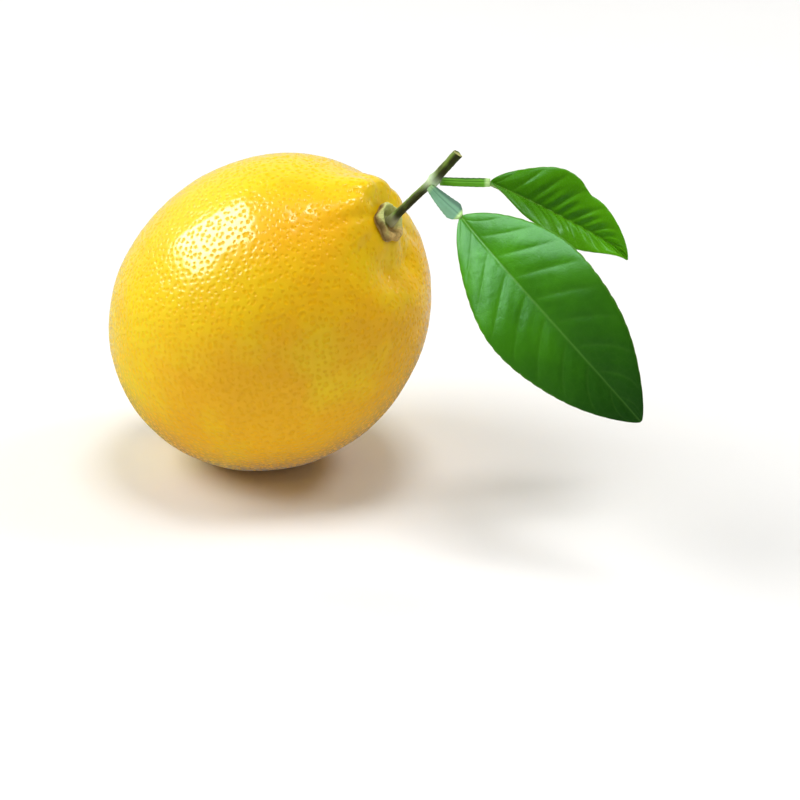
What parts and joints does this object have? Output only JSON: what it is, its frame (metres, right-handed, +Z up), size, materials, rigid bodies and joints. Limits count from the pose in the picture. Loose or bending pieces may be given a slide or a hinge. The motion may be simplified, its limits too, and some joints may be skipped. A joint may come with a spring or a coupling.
{
  "type": "lemon",
  "caption": "Whole oval citrus fruit with a nippled blossom end, a calyx button, a short cut twig and leaves on winged stalks, lying on a small flat spot.",
  "frame": {"origin": "centre of the small flat spot that the fruit rests on", "axes": "+Z up; +X level, towards the side where the leaves hang; +Y level, away from the side that the calyx turns to"},
  "size_m": [0.105, 0.0892, 0.0736],
  "materials": {
    "rind": "satin",
    "calyx": "matte",
    "bark": "satin",
    "petiole": "satin",
    "leaf_dark": "satin",
    "leaf_bright": "satin"
  },
  "bodies": {
    "root": {"fruit": "rind", "calyx": "calyx", "twig": "bark", "petiole_large": "petiole", "blade_large": "leaf_dark", "petiole_small": "petiole", "blade_small": "leaf_bright"}
  },
  "joints": []
}
